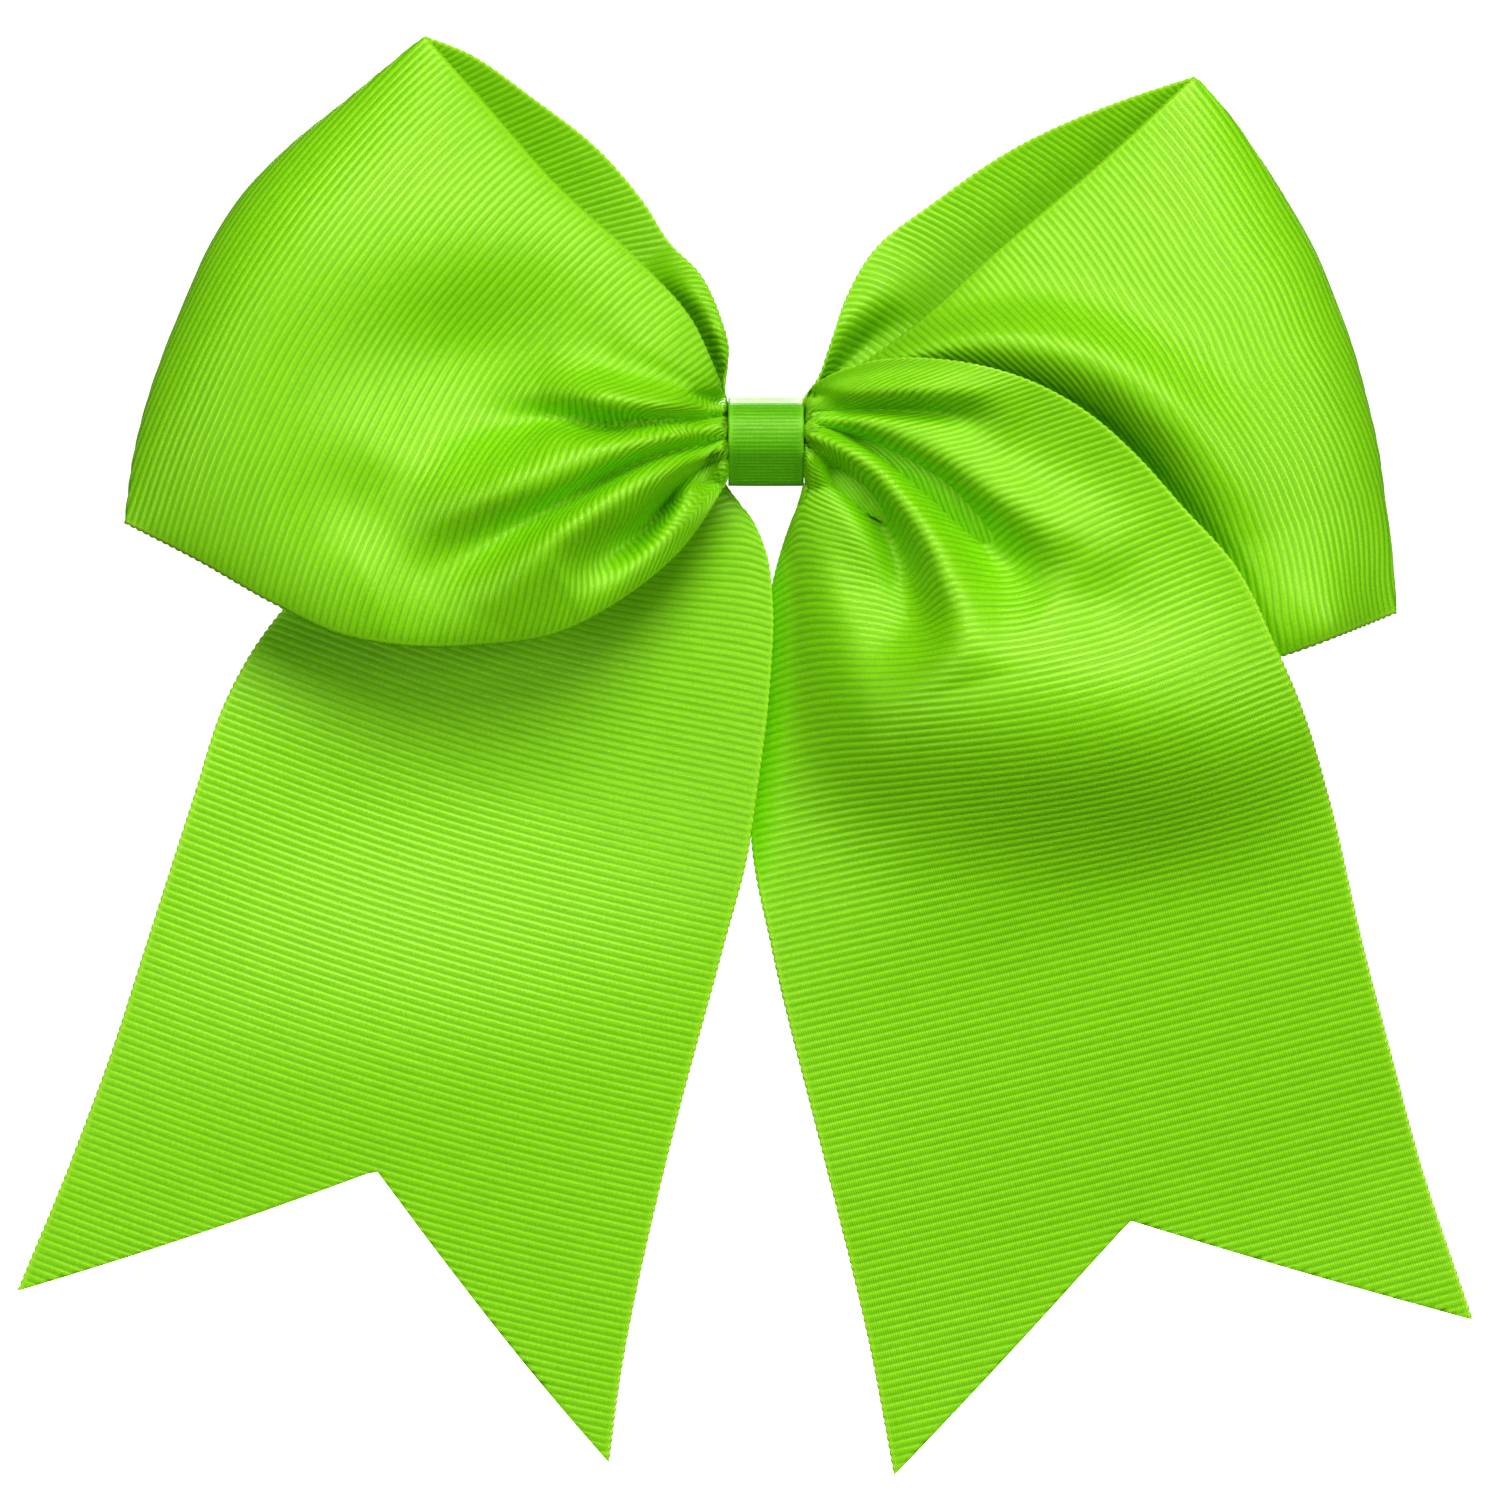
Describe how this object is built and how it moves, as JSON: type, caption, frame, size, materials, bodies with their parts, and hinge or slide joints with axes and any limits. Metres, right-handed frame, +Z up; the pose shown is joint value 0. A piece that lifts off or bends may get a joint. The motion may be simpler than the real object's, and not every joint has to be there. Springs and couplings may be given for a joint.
{
  "type": "cheer hair bow",
  "caption": "Large tailed hair bow of wide ribbed ribbon, gathered by a narrow centre wrap onto a sprung alligator clip.",
  "frame": {"origin": "the point on the clip arm's back face, which lies on the hair, straight behind the middle of the tied waist", "axes": "+Z up as worn, +X to the right seen from the front, +Y from the bow towards the hair"},
  "size_m": [0.1921, 0.0317, 0.1898],
  "materials": {
    "ribbon": "lime polyester grosgrain, 1 mm cross ribs, satin",
    "narrow_ribbon": "lime polyester grosgrain, narrow, fine ribs",
    "thread": "twisted polyester thread",
    "hot_glue": "cloudy hot-melt glue",
    "plated_steel": "nickel plated pressed steel",
    "spring_wire": "drawn spring wire"
  },
  "bodies": {
    "bow": {"left_loop": "ribbon", "right_loop": "ribbon", "left_tail": "ribbon", "right_tail": "ribbon", "gathered_waist": "ribbon", "gather_thread": "thread", "centre_wrap": "narrow_ribbon", "glue_pad": "hot_glue", "clip_arm": "plated_steel", "clip_pin": "plated_steel", "clip_spring": "spring_wire"},
    "jaw": {"clip_jaw": "plated_steel"}
  },
  "joints": [
    {"name": "clip_hinge", "type": "hinge", "parent": "bow", "child": "jaw", "pos_m": [0.012, 0.0027, 0], "axis": [0, 0, -1], "range_deg": [0, 35], "stiffness_Nm_per_rad": 0.1, "springref_deg": -34.38, "deforming": ["clip_spring"]}
  ]
}
